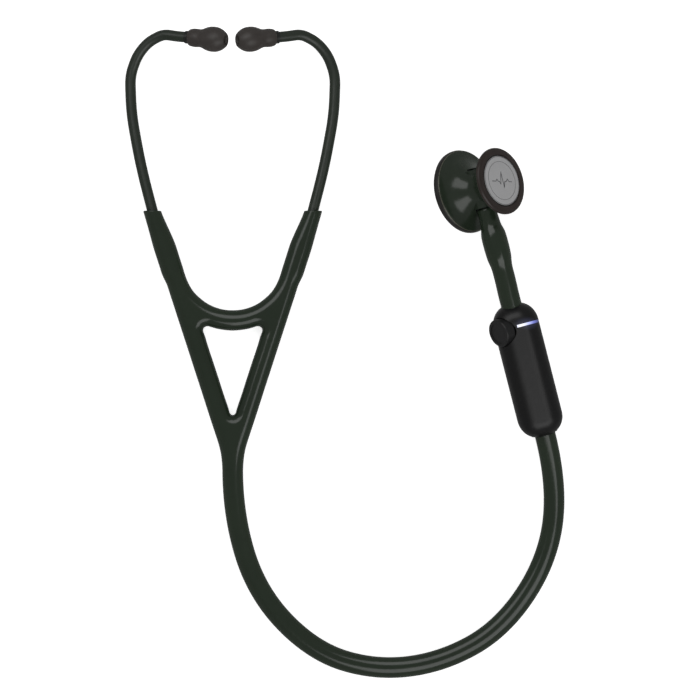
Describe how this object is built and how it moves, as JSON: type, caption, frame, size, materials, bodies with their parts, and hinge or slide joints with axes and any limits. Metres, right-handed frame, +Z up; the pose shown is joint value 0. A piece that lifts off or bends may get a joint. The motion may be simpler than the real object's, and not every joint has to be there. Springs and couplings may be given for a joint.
{
  "type": "stethoscope",
  "caption": "Stethoscope with sprung twin ear tubes, a Y-shaped moulded yoke, a looped hose with an inline sound module, and a two-sided swivelling chestpiece.",
  "frame": {"origin": "on the surface it lies on, under the middle of the whole object without the hose between the yoke and the module", "axes": "+Z up from the surface, +Y from the hose loop towards the ear tips, +X from the headset towards the chestpiece"},
  "size_m": [0.222, 0.3271, 0.0454],
  "materials": {
    "tubing": "glossy dark green-black moulded PVC",
    "spring_steel": "satin spring steel",
    "eartube": "satin dark green anodised aluminium tube",
    "eartip": "satin dark brown-grey silicone",
    "collar": "black threaded collar",
    "module_case": "fine matte black plastic",
    "seal": "black elastomer",
    "steel": "plain steel",
    "light_guide": "milky light guide",
    "board": "green circuit board",
    "battery": "foil battery cell",
    "button": "matte black plastic",
    "barb": "dark moulded barb",
    "chest_metal": "satin dark green coated machined metal",
    "stem_metal": "dark coated metal",
    "rim_black": "black rim",
    "rim_brown": "dark brown-black rim",
    "diaphragm": "smooth dark epoxy-glass diaphragm",
    "label": "fine brushed silver disc"
  },
  "bodies": {
    "root": {"yoke": "tubing", "yoke_leaf_spring": "spring_steel", "main_tube": "tubing", "chestpiece_tube": "tubing", "module_front_shell": "module_case", "module_rear_shell": "module_case", "module_gasket": "seal", "module_screws": "steel", "status_light_guide": "light_guide", "charging_port": "steel", "circuit_board": "board", "battery_cell": "battery", "speaker_capsule": "steel", "microphone_capsule": "steel", "button_switch": "steel", "button_return_pad": "seal", "headset_hose_barb": "barb", "chestpiece_hose_barb": "barb", "chestpiece_stem": "stem_metal", "stem_seal_rings": "seal", "stem_retaining_clip": "spring_steel"},
    "left_headset": {"left_yoke_sleeve": "tubing", "left_eartube": "eartube", "left_eartip_collar": "collar", "left_eartip": "eartip"},
    "right_headset": {"right_yoke_sleeve": "tubing", "right_eartube": "eartube", "right_eartip_collar": "collar", "right_eartip": "eartip"},
    "chestpiece": {"chestpiece_body": "chest_metal", "stem_end_plug": "stem_metal", "detent_ball": "steel", "detent_spring": "spring_steel", "adult_rim": "rim_black", "pediatric_rim": "rim_brown"},
    "adult_face": {"adult_diaphragm": "diaphragm"},
    "pediatric_face": {"pediatric_diaphragm": "diaphragm", "pediatric_label": "label"},
    "button": {"mode_button": "button"}
  },
  "joints": [
    {"name": "left_eartube_spread", "type": "hinge", "parent": "root", "child": "left_headset", "pos_m": [-0.0828, -0.02068, 0.0048], "axis": [0, 0, 1], "range_deg": [0, 30], "stiffness_Nm_per_rad": 0.5, "deforming": ["yoke_leaf_spring"]},
    {"name": "right_eartube_spread", "type": "hinge", "parent": "root", "child": "right_headset", "pos_m": [-0.0288, -0.02068, 0.0048], "axis": [0, 0, -1], "range_deg": [0, 30], "stiffness_Nm_per_rad": 0.5, "deforming": ["yoke_leaf_spring"]},
    {"name": "chestpiece_swivel", "type": "hinge", "parent": "root", "child": "chestpiece", "pos_m": [0.06843, 0.03068, 0.02357], "axis": [-0.2588, 0.9659, 0], "continuous": true},
    {"name": "adult_diaphragm_press", "type": "slide", "parent": "chestpiece", "child": "adult_face", "axis": [0.6983, 0.1871, 0.6909], "range_m": [0, 0.0005], "stiffness_N_per_m": 4000},
    {"name": "pediatric_diaphragm_press", "type": "slide", "parent": "chestpiece", "child": "pediatric_face", "axis": [-0.6983, -0.1871, -0.6909], "range_m": [0, 0.0005], "stiffness_N_per_m": 4000},
    {"name": "mode_button_press", "type": "slide", "parent": "root", "child": "button", "axis": [0.7529, 0.2939, -0.5889], "range_m": [0, 0.0007], "stiffness_N_per_m": 2000, "deforming": ["button_return_pad"]}
  ]
}
